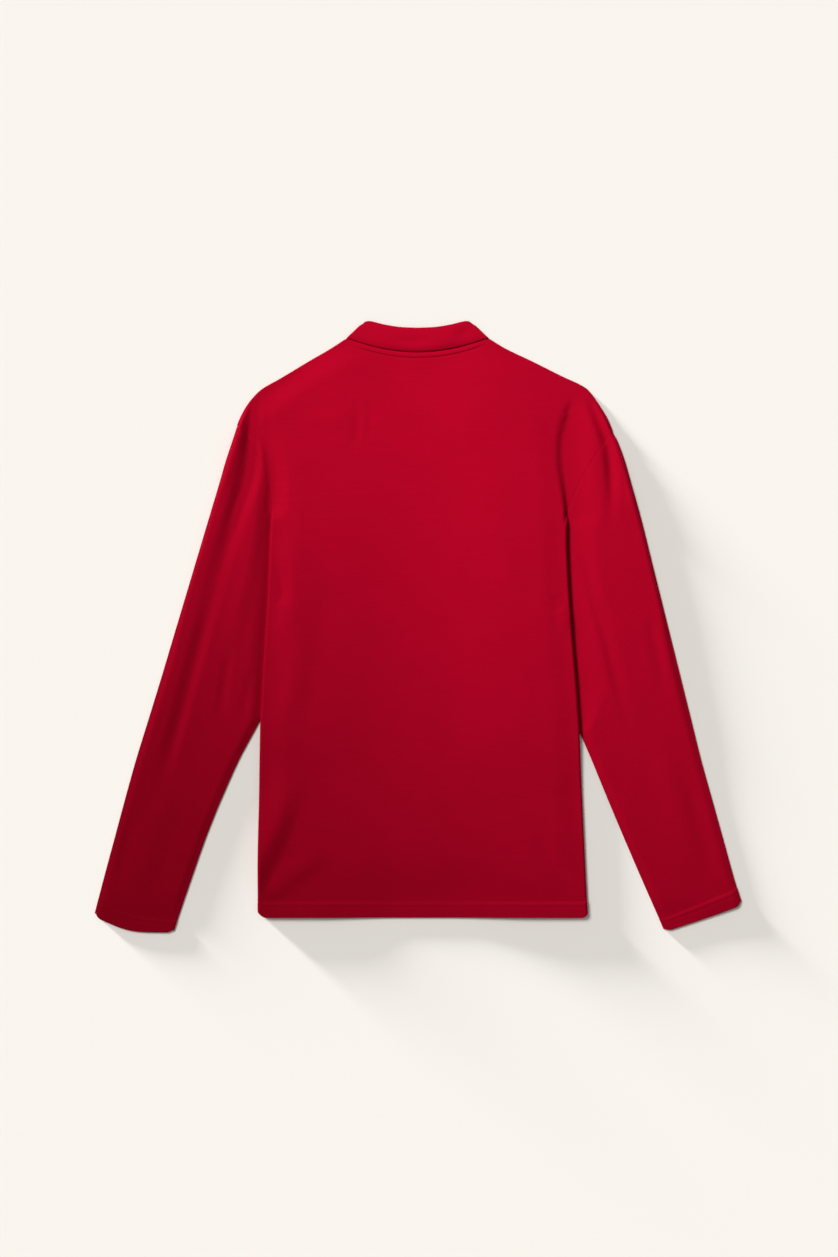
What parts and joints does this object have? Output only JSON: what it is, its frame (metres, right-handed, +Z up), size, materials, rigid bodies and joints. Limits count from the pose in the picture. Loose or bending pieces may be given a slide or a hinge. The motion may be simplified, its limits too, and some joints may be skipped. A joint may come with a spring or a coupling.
{
  "type": "long-sleeve t-shirt",
  "caption": "Long-sleeve t-shirt with a stand-up rib neckband, laid flat with its back up, its sides turned under and its sleeves spread.",
  "frame": {"origin": "middle of the garment's outline, on the surface that it lies on", "axes": "+Z up from the surface, +Y towards the neck, +X towards the wearer's right sleeve; the back of the garment faces up"},
  "size_m": [0.8083, 0.7629, 0.0097],
  "materials": {
    "jersey": "matte red cotton jersey",
    "rib": "matte red cotton rib"
  },
  "bodies": {
    "root": {"back_panel": "jersey", "front_panel": "jersey", "sleeve_left": "jersey", "sleeve_right": "jersey", "neck_band": "rib"}
  },
  "joints": []
}
